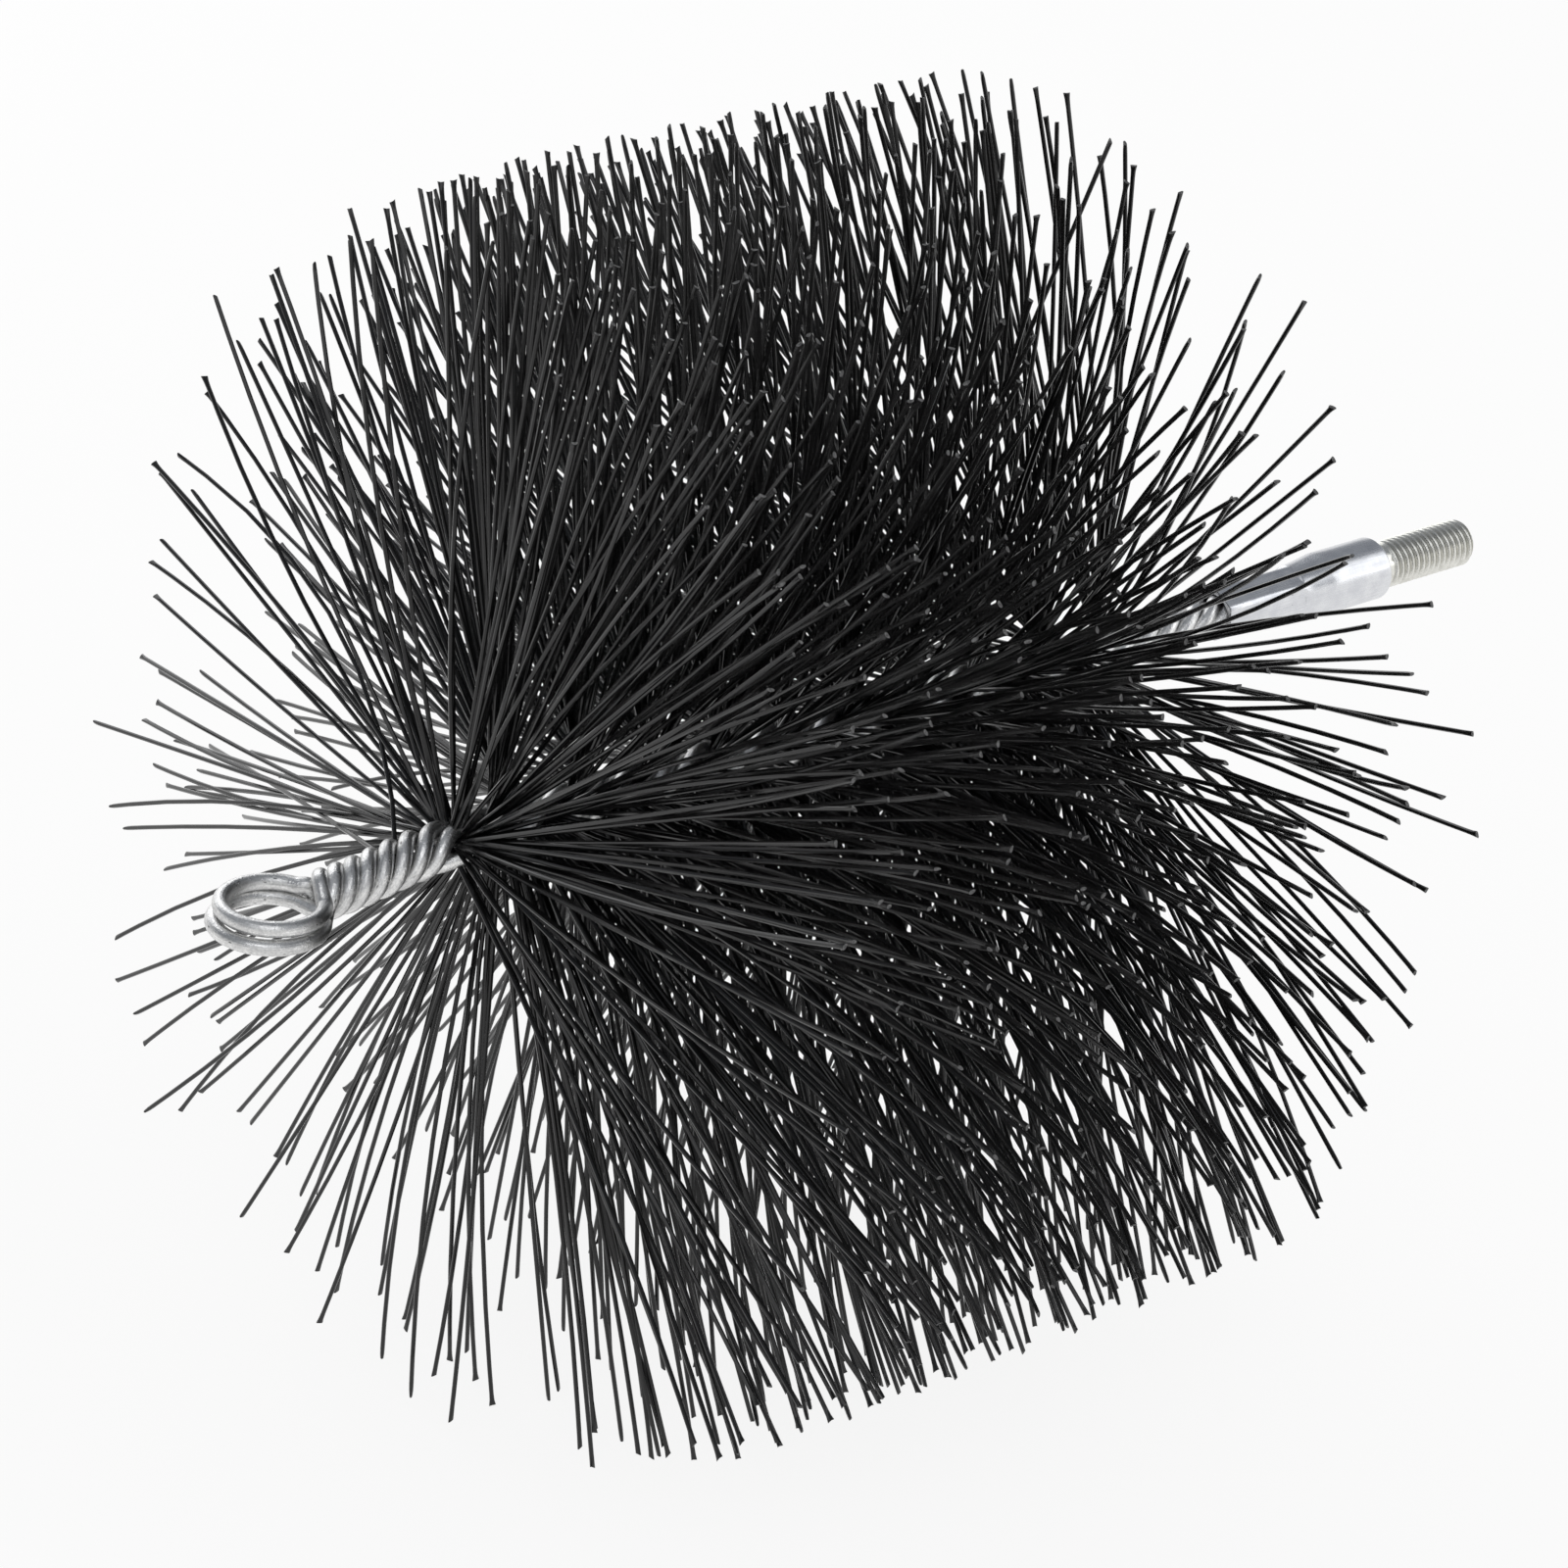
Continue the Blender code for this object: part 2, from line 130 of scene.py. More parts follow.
def add_blend(tree, share, first, second):
    """A shader between two others."""
    node = tree.nodes.new("ShaderNodeMixShader")
    for place, output in enumerate((share, first, second)):
        tree.links.new(output, node.inputs[place])
    return node.outputs[0]


def seen_mask(tree):
    """1 for rays from the camera, or that a gloss or glass has thrown on, and 0 for soft light."""
    path = tree.nodes.new("ShaderNodeLightPath").outputs
    seen = add_math(tree, "MAXIMUM", path["Is Camera Ray"], path["Is Glossy Ray"])
    return add_math(tree, "MAXIMUM", seen, path["Is Transmission Ray"])


half = floor_size / 2
floor_mesh = bpy.data.meshes.new("paper_floor")
floor_mesh.from_pydata([(-half, -half, 0), (half, -half, 0), (half, half, 0), (-half, half, 0)],
                       [], [(0, 1, 2, 3)])
floor = bpy.data.objects.new("paper_floor", floor_mesh)
bpy.context.scene.collection.objects.link(floor)
paper = bpy.data.materials.new("white_paper")
paper.use_nodes = True
tree = paper.node_tree
matte = tree.nodes["Principled BSDF"]
matte.inputs["Base Color"].default_value = floor_colour
matte.inputs["Roughness"].default_value = floor_roughness
matte.inputs["Specular IOR Level"].default_value = floor_gloss
glow = tree.nodes.new("ShaderNodeEmission")
glow.inputs["Color"].default_value = room_white
white_share = add_math(tree, "MULTIPLY", seen_mask(tree), floor_white_share)
blend = add_blend(tree, white_share, matte.outputs["BSDF"], glow.outputs["Emission"])
tree.links.new(blend, tree.nodes["Material Output"].inputs["Surface"])
floor_mesh.materials.append(paper)

room = bpy.data.worlds.new("pale_room")
bpy.context.scene.world = room
room.use_nodes = True
tree = room.node_tree
soft = tree.nodes["Background"]
soft.inputs["Color"].default_value = room_white
soft.inputs["Strength"].default_value = room_light
direction = tree.nodes.new("ShaderNodeTexCoord")
height = tree.nodes.new("ShaderNodeSeparateXYZ")
tree.links.new(direction.outputs["Generated"], height.inputs["Vector"])
ceiling = tree.nodes.new("ShaderNodeValToRGB")
ceiling.color_ramp.elements[0].position = room_white_height
ceiling.color_ramp.elements[0].color = room_white
ceiling.color_ramp.elements[1].position = room_dark_height
ceiling.color_ramp.elements[1].color = room_top
tree.links.new(height.outputs["Z"], ceiling.inputs["Fac"])
seen = tree.nodes.new("ShaderNodeBackground")
tree.links.new(ceiling.outputs["Color"], seen.inputs["Color"])
blend = add_blend(tree, seen_mask(tree), soft.outputs["Background"], seen.outputs["Background"])
tree.links.new(blend, tree.nodes["World Output"].inputs["Surface"])

for name, spot, size, power in lamps:
    lamp = bpy.data.objects.new(name, bpy.data.lights.new(name, "AREA"))
    bpy.context.scene.collection.objects.link(lamp)
    lamp.data.shape = "SQUARE"
    lamp.data.size = size
    lamp.data.energy = power
    lamp.location = spot
    aim = Vector((0, 0, axis_height)) - lamp.location
    lamp.rotation_euler = aim.to_track_quat("-Z", "Y").to_euler()

# Twisted wires. Two galvanised steel wires are each bent double round the eye and laid side by
# side; the four strands are then twisted together left-handed, which pinches the bristles.
wire_diameter = 0.0030
strand_gap = 0.00003
wire_sides = 18
points_each_turn = 30
pack_thickness = 0.0022
grip_length = 0.022
sharp_angle = math.radians(40)

# The neck's twist slackens from the eye to the bristles. It is slackest where the bristles begin,
# and even from slack_length on, up to the tail, whose twist is tighter again.
neck_turns = 1.6528
neck_start_turn = math.radians(-35)
neck_twist_fall = 0.15
bristle_pitch = 0.0312
slack_length = 0.030
slack_share = 0.636
tail_pitch = 0.021
ease_length = 0.004
stem_stations = 6000

# The eye is two rings, one of each wire, that hang a little below the neck.
eye_radius = 0.00935
eye_radius_step = 0.00029
eye_throat_length = 0.0099
eye_throat_step = 0.00031
eye_half_height = 0.00158
eye_sag = 0.0013
eye_drop = 0.0025
eye_roll = math.radians(4.8)
eye_tilt = math.radians(4)
eye_lead = math.radians(32)
eye_points = 64
bridge_points = 9

# Colours, gloss and marks of the galvanised wire. Heights are shares of the relief's depth.
zinc_dark = (0.62, 0.62, 0.62, 1.0)
zinc_light = (0.92, 0.92, 0.91, 1.0)
zinc_roughness = (0.40, 0.26)
die_mark_colour = (0.36, 0.36, 0.36, 1.0)
die_mark_scale = 2600.0
die_mark_stretch = (1.0, 1.0, 0.03)
die_mark_share = 0.40
die_mark_height = 0.35
bare_spot_colour = (0.09, 0.09, 0.09, 1.0)
bare_spot_stretch = (1.0, 1.0, 0.45)
bare_spot_height = 1.5
wire_bump_strength = 0.60
wire_bump_depth = 0.00006


def strand_distance(radius, pitch):
    """Least distance between the middles of two neighbours among four strands twisted at a pitch."""
    places_compared = 200
    lags = np.linspace(0, math.pi / 2, places_compared)
    across = 2 * radius ** 2 * (1 - np.cos(lags))
    along = (pitch / math.tau * (math.pi / 2 - lags)) ** 2
    return math.sqrt((across + along).min())


def bundle_radius(pitch):
    """Radius on which four strands lie against one another at a pitch, found by halving."""
    halvings = 40
    low = wire_diameter / 2
    high = 2 * wire_diameter
    for _ in range(halvings):
        middle = (low + high) / 2
        if strand_distance(middle, pitch) < wire_diameter + strand_gap:
            low = middle
        else:
            high = middle
    return high


def spread_pair():
    """Half spacings of the strands where the bristles lie between the two pairs."""
    rounds = 4
    beside = wire_diameter / 2
    apart = (pack_thickness + wire_diameter) / 2
    for _ in range(rounds):
        radius = math.hypot(beside, apart)
        stretch = math.hypot(1, math.tau * radius / bristle_pitch)
        side_reach = math.hypot(beside / radius, apart / radius * stretch)
        out_reach = math.hypot(apart / radius, beside / radius * stretch)
        beside = (wire_diameter * side_reach + strand_gap) / 2
        apart = (pack_thickness + wire_diameter * out_reach) / 2
    return beside, apart


wire_end_x = mouth_x + grip_length
full_rate = 1 / bristle_pitch
slack_rate = full_rate * slack_share
tail_rate = 1 / tail_pitch
neck_rate = ((neck_turns - ease_length * slack_rate / 2)
             / (neck_length - ease_length + (1 - neck_twist_fall) * ease_length / 2))
spread_beside, spread_apart = spread_pair()
neck_half = bundle_radius(1 / neck_rate) / math.sqrt(2)
tail_half = bundle_radius(tail_pitch) / math.sqrt(2)
stem_knots = [throat_x, first_x - ease_length, first_x, last_x, last_x + ease_length, wire_end_x]
stem_besides = [neck_half, neck_half, spread_beside, spread_beside, tail_half, tail_half]
stem_aparts = [neck_half, neck_half, spread_apart, spread_apart, tail_half, tail_half]
stem_places = np.linspace(throat_x, wire_end_x, stem_stations)
stem_rates = np.interp(stem_places, stem_knots[:3] + [first_x + slack_length] + stem_knots[3:],
                       [neck_rate * (1 + neck_twist_fall), neck_rate * (1 - neck_twist_fall),
                        slack_rate, full_rate, full_rate, tail_rate, tail_rate])
stem_steps = (stem_rates[1:] + stem_rates[:-1]) / 2 * np.diff(stem_places)
stem_turns = np.concatenate([[0.0], np.cumsum(stem_steps)])


def stem_frame(x):
    """The stem's middle, the way its bristles point and the way between its pairs, at a place."""
    share = min(max((first_x - x) / neck_length, 0.0), 1.0)
    drop = eye_drop * share * share * (3 - 2 * share)
    slope = math.atan(eye_drop * 6 * share * (1 - share) / neck_length)
    turns = np.interp(x, stem_places, stem_turns)
    angle = math.pi / 2 + neck_start_turn - math.tau * turns
    tilt = Matrix.Rotation(-slope, 3, "Y")
    out = tilt @ Vector((0.0, math.cos(angle), math.sin(angle)))
    across = tilt @ Vector((0.0, -math.sin(angle), math.cos(angle)))
    return Vector((x, 0.0, axis_height - drop)), out, across


def strand_point(x, level, side):
    """A point of one strand: level is the wire, above or below, and side the pair it lies in."""
    middle, out, across = stem_frame(x)
    beside = np.interp(x, stem_knots, stem_besides)
    apart = np.interp(x, stem_knots, stem_aparts)
    return middle + out * (beside * level) + across * (apart * side)


def eye_point(angle, level):
    """A point of one ring of the eye, by its angle round from the throat.

    The rings hang a little below the neck, and the lower one is larger and reaches further out.
    """
    out = Vector((0.0, -math.sin(eye_roll), math.cos(eye_roll)))
    across = Vector((0.0, -math.cos(eye_roll), -math.sin(eye_roll)))
    ahead = Vector((-1.0, 0.0, 0.0)) * math.cos(eye_tilt) + out * math.sin(eye_tilt)
    normal = out * math.cos(eye_tilt) + Vector((1.0, 0.0, 0.0)) * math.sin(eye_tilt)
    radius = eye_radius - eye_radius_step * level
    throat = eye_throat_length - eye_throat_step * level
    centre = stem_frame(throat_x)[0] - out * eye_sag + ahead * throat
    centre += normal * (eye_half_height * level)
    return centre - ahead * (radius * math.cos(angle)) + across * (radius * math.sin(angle))


def bridge(start, start_way, end, end_way):
    """Points between two others on a smooth curve that leaves and arrives in the ways given."""
    reach = (end - start).length
    points = []
    for step in range(1, bridge_points + 1):
        t = step / (bridge_points + 1)
        at_start = 2 * t ** 3 - 3 * t ** 2 + 1
        at_end = 1 - at_start
        leave = t ** 3 - 2 * t ** 2 + t
        arrive = t ** 3 - t ** 2
        ways = start_way.normalized() * (leave * reach) + end_way.normalized() * (arrive * reach)
        points.append(start * at_start + end * at_end + ways)
    return points


def wire_points(level):
    """The whole path of one wire: up one strand, round the eye and back down the other."""
    count = int(stem_turns[-1] * points_each_turn)
    marks = np.linspace(0, stem_turns[-1], count + 1)
    stations = [float(x) for x in np.interp(marks, stem_turns, stem_places)]
    near = [strand_point(x, level, 1) for x in reversed(stations)]
    far = [strand_point(x, level, -1) for x in stations]
    angles = np.linspace(eye_lead, math.tau - eye_lead, eye_points)
    ring = [eye_point(float(angle), level) for angle in angles]
    entry = bridge(near[-1], near[-1] - near[-2], ring[0], ring[1] - ring[0])
    leave = bridge(ring[-1], ring[-1] - ring[-2], far[0], far[1] - far[0])
    return near + entry + ring + leave + far


def path_frames(points):
    """Ways along a path at its points, and two ways square to it that turn as little as they can."""
    least_side = 0.1
    along = np.gradient(points, axis=0)
    along /= np.linalg.norm(along, axis=1)[:, None]
    first = np.cross(along[0], (0.0, 0.0, 1.0))
    if np.linalg.norm(first) < least_side:
        first = np.cross(along[0], (0.0, 1.0, 0.0))
    sides = [first / np.linalg.norm(first)]
    for way in along[1:]:
        side = sides[-1] - way * np.dot(sides[-1], way)
        sides.append(side / np.linalg.norm(side))
    sides = np.array(sides)
    return along, sides, np.cross(along, sides)


def band_faces(first, second, sides):
    """The faces between two rings of points, by where each ring starts among the points."""
    faces = []
    for side in range(sides):
        after = (side + 1) % sides
        faces.append((first + side, first + after, second + after, second + side))
    return faces


def tube_faces(rings, sides):
    """The faces of a closed tube whose rings of points follow one another, with both ends filled."""
    faces = []
    for ring in range(rings - 1):
        faces += band_faces(ring * sides, (ring + 1) * sides, sides)
    last = (rings - 1) * sides
    faces.append(tuple(reversed(range(sides))))
    faces.append(tuple(last + side for side in range(sides)))
    return faces


def straight_places(lengths, angles, radius):
    """Where the points of a tube's rings would lie if it were straight, for marks along it."""
    round_part = radius * np.stack([np.cos(angles), np.sin(angles)], 1)
    return np.array([(*spot, length) for length in lengths for spot in round_part])


def new_piece(name, verts, faces, materials, straight=None):
    """A smooth object from points and faces, which rides on the brush's one body."""
    mesh = bpy.data.meshes.new(name)
    mesh.from_pydata([tuple(v) for v in verts], [], faces)
    for material in materials:
        mesh.materials.append(material)
    if straight is not None:
        mesh.attributes.new("straight", "FLOAT_VECTOR", "POINT")
        mesh.attributes["straight"].data.foreach_set("vector", np.ravel(straight))
    mesh.shade_smooth()
    mesh.set_sharp_from_angle(angle=sharp_angle)
    piece = bpy.data.objects.new(name, mesh)
    bpy.context.scene.collection.objects.link(piece)
    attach(piece, "root")
    return piece


def new_group(name, values, outputs):
    """An empty node group: values are its inputs' first settings, where None stands for places."""
    kinds = {type(None): "NodeSocketVector", tuple: "NodeSocketColor", float: "NodeSocketFloat"}
    group = bpy.data.node_groups.new(name, "ShaderNodeTree")
    for label, setting in values.items():
        socket = group.interface.new_socket(label, in_out="INPUT", socket_type=kinds[type(setting)])
        if setting is not None:
            socket.default_value = setting
    for label in outputs:
        kind = "NodeSocketColor" if label == "Colour" else "NodeSocketFloat"
        group.interface.new_socket(label, in_out="OUTPUT", socket_type=kind)
    given = group.nodes.new("NodeGroupInput")
    result = group.nodes.new("NodeGroupOutput")
    return group, given.outputs, result.inputs


def add_range(tree, value, low, high, to_low=0.0, to_high=1.0):
    """A value's stretch from low to high, spread smoothly over another stretch and held there."""
    node = tree.nodes.new("ShaderNodeMapRange")
    node.interpolation_type = "SMOOTHSTEP"
    for label, setting in (("Value", value), ("From Min", low), ("From Max", high),
                           ("To Min", to_low), ("To Max", to_high)):
        set_input(tree, node.inputs[label], setting)
    return node.outputs["Result"]


def add_noise(tree, vector, scale, spread, detail=3.0):
    """A noise from 0 to 1 at a scale; the smaller its spread, the sharper its patches."""
    middle = 0.5
    fine_share = 0.55
    node = tree.nodes.new("ShaderNodeTexNoise")
    node.inputs["Detail"].default_value = detail
    node.inputs["Roughness"].default_value = fine_share
    set_input(tree, node.inputs["Vector"], vector)
    set_input(tree, node.inputs["Scale"], scale)
    return add_range(tree, node.outputs["Fac"], middle - spread, middle + spread)


def add_mix(tree, share, first, second):
    """A colour between two, each a colour or a node's output."""
    node = tree.nodes.new("ShaderNodeMix")
    node.data_type = "RGBA"
    set_input(tree, node.inputs["Factor"], share)
    colours = [socket for socket in node.inputs if socket.type == "RGBA"]
    set_input(tree, colours[0], first)
    set_input(tree, colours[1], second)
    return next(socket for socket in node.outputs if socket.type == "RGBA")


def add_bump(tree, height, strength, depth):
    """A Bump node on a height."""
    node = tree.nodes.new("ShaderNodeBump")
    node.inputs["Strength"].default_value = strength
    node.inputs["Distance"].default_value = depth
    tree.links.new(height, node.inputs["Height"])
    return node.outputs["Normal"]


def add_group(tree, group, vector, **values):
    """Places a node group in a material with its own values, and gives its outputs."""
    node = tree.nodes.new("ShaderNodeGroup")
    node.node_tree = group
    tree.links.new(vector, node.inputs["Vector"])
    for label, setting in values.items():
        node.inputs[label.replace("_", " ")].default_value = setting
    return node.outputs


def object_places(tree):
    """The object's own places."""
    return tree.nodes.new("ShaderNodeTexCoord").outputs["Object"]


def stretched(tree, vector, scale):
    """Places squeezed or stretched along each axis, so that marks run one way."""
    node = tree.nodes.new("ShaderNodeVectorMath")
    node.operation = "MULTIPLY"
    tree.links.new(vector, node.inputs[0])
    node.inputs[1].default_value = scale
    return node.outputs["Vector"]


def read_attribute(tree, name, output):
    """A value that the mesh carries on its points."""
    node = tree.nodes.new("ShaderNodeAttribute")
    node.attribute_name = name
    return node.outputs[output]


def new_finish(name, metallic):
    """A material with its tree and the inputs of its Principled shader."""
    material = bpy.data.materials.new(name)
    material.use_nodes = True
    surface = material.node_tree.nodes["Principled BSDF"].inputs
    surface["Metallic"].default_value = metallic
    return material, material.node_tree, surface


def make_mottle():
    """Zinc's cloudy grain: soft patches with fine specks over them."""
    group, given, result = new_group(
        "zinc_mottle",
        {"Vector": None, "Patch Scale": 300.0, "Speck Scale": 1500.0, "Speck Share": 0.4,
         "Dark": (0.4, 0.4, 0.4, 1.0), "Light": (0.7, 0.7, 0.7, 1.0)},
        ["Colour", "Mask"])
    patches = add_noise(group, given["Vector"], given["Patch Scale"], spread=0.17)
    specks = add_noise(group, given["Vector"], given["Speck Scale"], spread=0.15)
    fine = add_math(group, "MULTIPLY", specks, given["Speck Share"])
    left = add_math(group, "SUBTRACT", 1.0, given["Speck Share"])
    mask = add_math(group, "ADD", fine, add_math(group, "MULTIPLY", patches, left))
    group.links.new(add_mix(group, mask, given["Dark"], given["Light"]), result["Colour"])
    group.links.new(mask, result["Mask"])
    return group


def make_pits():
    """Small sunk spots: a mask that rises to 1 in the middle of a spot."""
    middle_size = 0.02
    group, given, result = new_group(
        "small_pits", {"Vector": None, "Scale": 900.0, "Size": 0.22, "Share": 0.5}, ["Mask"])
    cells = group.nodes.new("ShaderNodeTexVoronoi")
    group.links.new(given["Vector"], cells.inputs["Vector"])
    group.links.new(given["Scale"], cells.inputs["Scale"])
    near = add_math(group, "LESS_THAN", cells.outputs["Distance"], given["Size"])
    edge = add_range(group, cells.outputs["Distance"], given["Size"], middle_size)
    chosen = group.nodes.new("ShaderNodeSeparateColor")
    group.links.new(cells.outputs["Color"], chosen.inputs["Color"])
    kept = add_math(group, "LESS_THAN", chosen.outputs["Red"], given["Share"])
    spots = add_math(group, "MULTIPLY", near, kept)
    group.links.new(add_math(group, "MULTIPLY", spots, edge), result["Mask"])
    return group


zinc_mottle = make_mottle()
small_pits = make_pits()

galvanised, tree, surface = new_finish("galvanised_wire", 1.0)
along_wire = read_attribute(tree, "straight", "Vector")
grain = add_group(tree, zinc_mottle, object_places(tree), Patch_Scale=520.0, Speck_Scale=2400.0,
                  Speck_Share=0.55, Dark=zinc_dark, Light=zinc_light)
spots = add_group(tree, small_pits, stretched(tree, along_wire, bare_spot_stretch),
                  Scale=1000.0, Size=0.22, Share=0.30)
die_marks = add_noise(tree, stretched(tree, along_wire, die_mark_stretch), die_mark_scale,
                      spread=0.12, detail=2.0)
marked = add_mix(tree, add_math(tree, "MULTIPLY", die_marks, die_mark_share), grain["Colour"],
                 die_mark_colour)
bare = add_mix(tree, spots["Mask"], marked, bare_spot_colour)
tree.links.new(bare, surface["Base Color"])
dull = add_range(tree, grain["Mask"], 0.0, 1.0, *zinc_roughness)
tree.links.new(dull, surface["Roughness"])
relief = add_math(tree, "SUBTRACT", grain["Mask"],
                  add_math(tree, "MULTIPLY", spots["Mask"], bare_spot_height))
relief = add_math(tree, "ADD", relief, add_math(tree, "MULTIPLY", die_marks, die_mark_height))
tree.links.new(add_bump(tree, relief, wire_bump_strength, wire_bump_depth), surface["Normal"])

for name, level in (("wire_a", 1), ("wire_b", -1)):
    points = np.array([tuple(p) for p in wire_points(level)])
    along, side_ways, up_ways = path_frames(points)
    angles = np.arange(wire_sides) / wire_sides * math.tau
    rings = (points[:, None]
             + side_ways[:, None] * (wire_diameter / 2 * np.cos(angles))[None, :, None]
             + up_ways[:, None] * (wire_diameter / 2 * np.sin(angles))[None, :, None])
    steps = np.linalg.norm(np.diff(points, axis=0), axis=1)
    lengths = np.concatenate([[0.0], np.cumsum(steps)])
    straight = straight_places(lengths, angles, wire_diameter / 2)
    faces = tube_faces(len(points), wire_sides)
    wire = new_piece(f"{name}_galvanised", rings.reshape(-1, 3), faces, [galvanised], straight)
    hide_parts(name)

# Ferrule. An aluminium sleeve, turned with a taper behind its round collar, bored for the wires and
# the stud, and then pressed in a six-sided die that grips the four wire ends.
ferrule_segments = 96
crimp_length = 0.0204
crimp_flats = 0.0102
crimp_corner_radius = 0.00565
crimp_blend = 0.0009
crimp_marks = (0.2, 0.4, 0.6, 0.8, 0.93)
blend_marks = (-0.9, -0.6, -0.3, -0.1, 0.1, 0.3, 0.6)
shoulder_taper_length = 0.008
taper_swell = 1.15
taper_steps = 8
collar_radius = 0.00655
collar_marks = (0.15, 0.5, 0.85, 1.0)
collar_round = 0.0006
collar_round_steps = 6
mouth_round = 0.0003
mouth_round_steps = 4
mouth_bore_radius = 0.0041
mouth_bore_depth = 0.012

# Colours, gloss and marks of the aluminium: rings from turning on the collar, lines from drawing on
# the crimp, fine nicks and a faint cloudiness.
aluminium_dark = (0.66, 0.67, 0.70, 1.0)
aluminium_light = (0.76, 0.77, 0.79, 1.0)
aluminium_roughness = (0.24, 0.34)
turned_scale = 5200.0
turned_stretch = (1.0, 0.02, 0.02)
turned_share = 0.2
drawn_scale = 3400.0
drawn_stretch = (0.03, 1.0, 1.0)
drawn_shares = (0.5, 1.0)
finish_change = 0.001
mark_colour = (0.50, 0.51, 0.54, 1.0)
mark_share = 0.22
mark_height = 0.5
nick_colour = (0.30, 0.30, 0.32, 1.0)
nick_stretch = (0.5, 1.0, 1.0)
nick_height = 1.6
cloud_scale = 380.0
cloud_height = 0.15
ferrule_bump_strength = 0.35
ferrule_bump_depth = 0.00003


def crimp_radius(angle):
    """Radius of the pressed outline: six flats whose corners keep the sleeve's round."""
    sixth = math.tau / 6
    from_middle = (angle % sixth) - sixth / 2
    return min(crimp_flats / 2 / math.cos(from_middle), crimp_corner_radius)


def ferrule_outline():
    """Places and round radii along the sleeve's outside, from its mouth to its shoulder."""
    taper_start = crimp_length + crimp_blend
    taper_end = crimp_length + shoulder_taper_length
    collar_end = shoulder_x - mouth_x - collar_round
    outline = []
    for step in range(mouth_round_steps + 1):
        turn = step / mouth_round_steps * math.pi / 2
        outline.append((mouth_round * (1 - math.cos(turn)),
                        crimp_corner_radius - mouth_round * (1 - math.sin(turn))))
    outline += [(crimp_length * mark, crimp_corner_radius) for mark in crimp_marks]
    outline += [(crimp_length + crimp_blend * mark, crimp_corner_radius) for mark in blend_marks]
    for step in range(1, taper_steps + 1):
        share = step / taper_steps
        swell = (collar_radius - crimp_corner_radius) * share ** taper_swell
        outline.append((taper_start + (taper_end - taper_start) * share,
                        crimp_corner_radius + swell))
    outline += [(taper_end + (collar_end - taper_end) * mark, collar_radius)
                for mark in collar_marks]
    for step in range(1, collar_round_steps + 1):
        turn = step / collar_round_steps * math.pi / 2
        outline.append((collar_end + collar_round * math.sin(turn),
                        collar_radius - collar_round * (1 - math.cos(turn))))
    return outline


def axis_ring(x, radii, first_angle=0.0):
    """A ring of points round the stem's axis at a place, with a radius for each point."""
    angles = first_angle + np.arange(len(radii)) / len(radii) * math.tau
    across = radii * np.cos(angles)
    up = radii * np.sin(angles)
    return [(x, y, axis_height + z) for y, z in zip(across, up)]


def axis_distance(tree, places):
    """How far a place stands from the stem's axis."""
    node = tree.nodes.new("ShaderNodeVectorMath")
    node.operation = "SUBTRACT"
    tree.links.new(places, node.inputs[0])
    node.inputs[1].default_value = (0.0, 0.0, axis_height)
    length = tree.nodes.new("ShaderNodeVectorMath")
    length.operation = "LENGTH"
    tree.links.new(stretched(tree, node.outputs["Vector"], (0.0, 1.0, 1.0)), length.inputs[0])
    return length.outputs["Value"]


first_flat = math.pi / 2
crimp_radii = np.array([crimp_radius(segment / ferrule_segments * math.tau)
                        for segment in range(ferrule_segments)])
verts = []
outline = ferrule_outline()
for along, round_radius in outline:
    pressed = min(max((crimp_length + crimp_blend / 2 - along) / crimp_blend, 0.0), 1.0)
    pressed = pressed * pressed * (3 - 2 * pressed)
    radii = np.minimum(round_radius, round_radius + (crimp_radii - crimp_corner_radius) * pressed)
    verts += axis_ring(mouth_x + along, radii, first_flat)
bore = ((mouth_bore_depth, mouth_bore_radius), (mouth_round, mouth_bore_radius),
        (0.0, mouth_bore_radius + mouth_round))
for along, radius in bore:
    verts += axis_ring(mouth_x + along, np.full(ferrule_segments, radius), first_flat)

# The outside's rings come first and the bore's after them; the mouth joins the last to the first.
rows = len(outline)
faces = []
for row in (*range(rows - 1), rows, rows + 1):
    faces += band_faces(row * ferrule_segments, (row + 1) * ferrule_segments, ferrule_segments)
faces += band_faces((rows + 2) * ferrule_segments, 0, ferrule_segments)
bore_end = rows * ferrule_segments
shoulder = (rows - 1) * ferrule_segments
faces.append(tuple(bore_end + segment for segment in reversed(range(ferrule_segments))))
faces.append(tuple(shoulder + segment for segment in range(ferrule_segments)))

aluminium, tree, surface = new_finish("drawn_aluminium", 1.0)
places = object_places(tree)
turned = add_noise(tree, stretched(tree, places, turned_stretch), turned_scale,
                   spread=0.14, detail=2.0)
drawn = add_noise(tree, stretched(tree, places, drawn_stretch), drawn_scale, spread=0.12)
parted = tree.nodes.new("ShaderNodeSeparateXYZ")
tree.links.new(places, parted.inputs[0])
crimp_end_x = mouth_x + crimp_length
on_crimp = add_range(tree, parted.outputs["X"], crimp_end_x + finish_change,
                     crimp_end_x - finish_change)
on_collar = add_math(tree, "SUBTRACT", 1.0, on_crimp)
turned = add_math(tree, "MULTIPLY", turned, add_math(tree, "MULTIPLY", on_collar, turned_share))
drawn = add_math(tree, "MULTIPLY", drawn, add_range(tree, on_crimp, 0.0, 1.0, *drawn_shares))
marks = add_math(tree, "ADD", turned, drawn)
clouds = add_noise(tree, places, cloud_scale, spread=0.2)
nicks = add_group(tree, small_pits, stretched(tree, places, nick_stretch),
                  Scale=900.0, Size=0.16, Share=0.22)
clean = add_mix(tree, clouds, aluminium_dark, aluminium_light)
marked = add_mix(tree, add_math(tree, "MULTIPLY", marks, mark_share), clean, mark_colour)
worn = add_mix(tree, nicks["Mask"], marked, nick_colour)
tree.links.new(worn, surface["Base Color"])
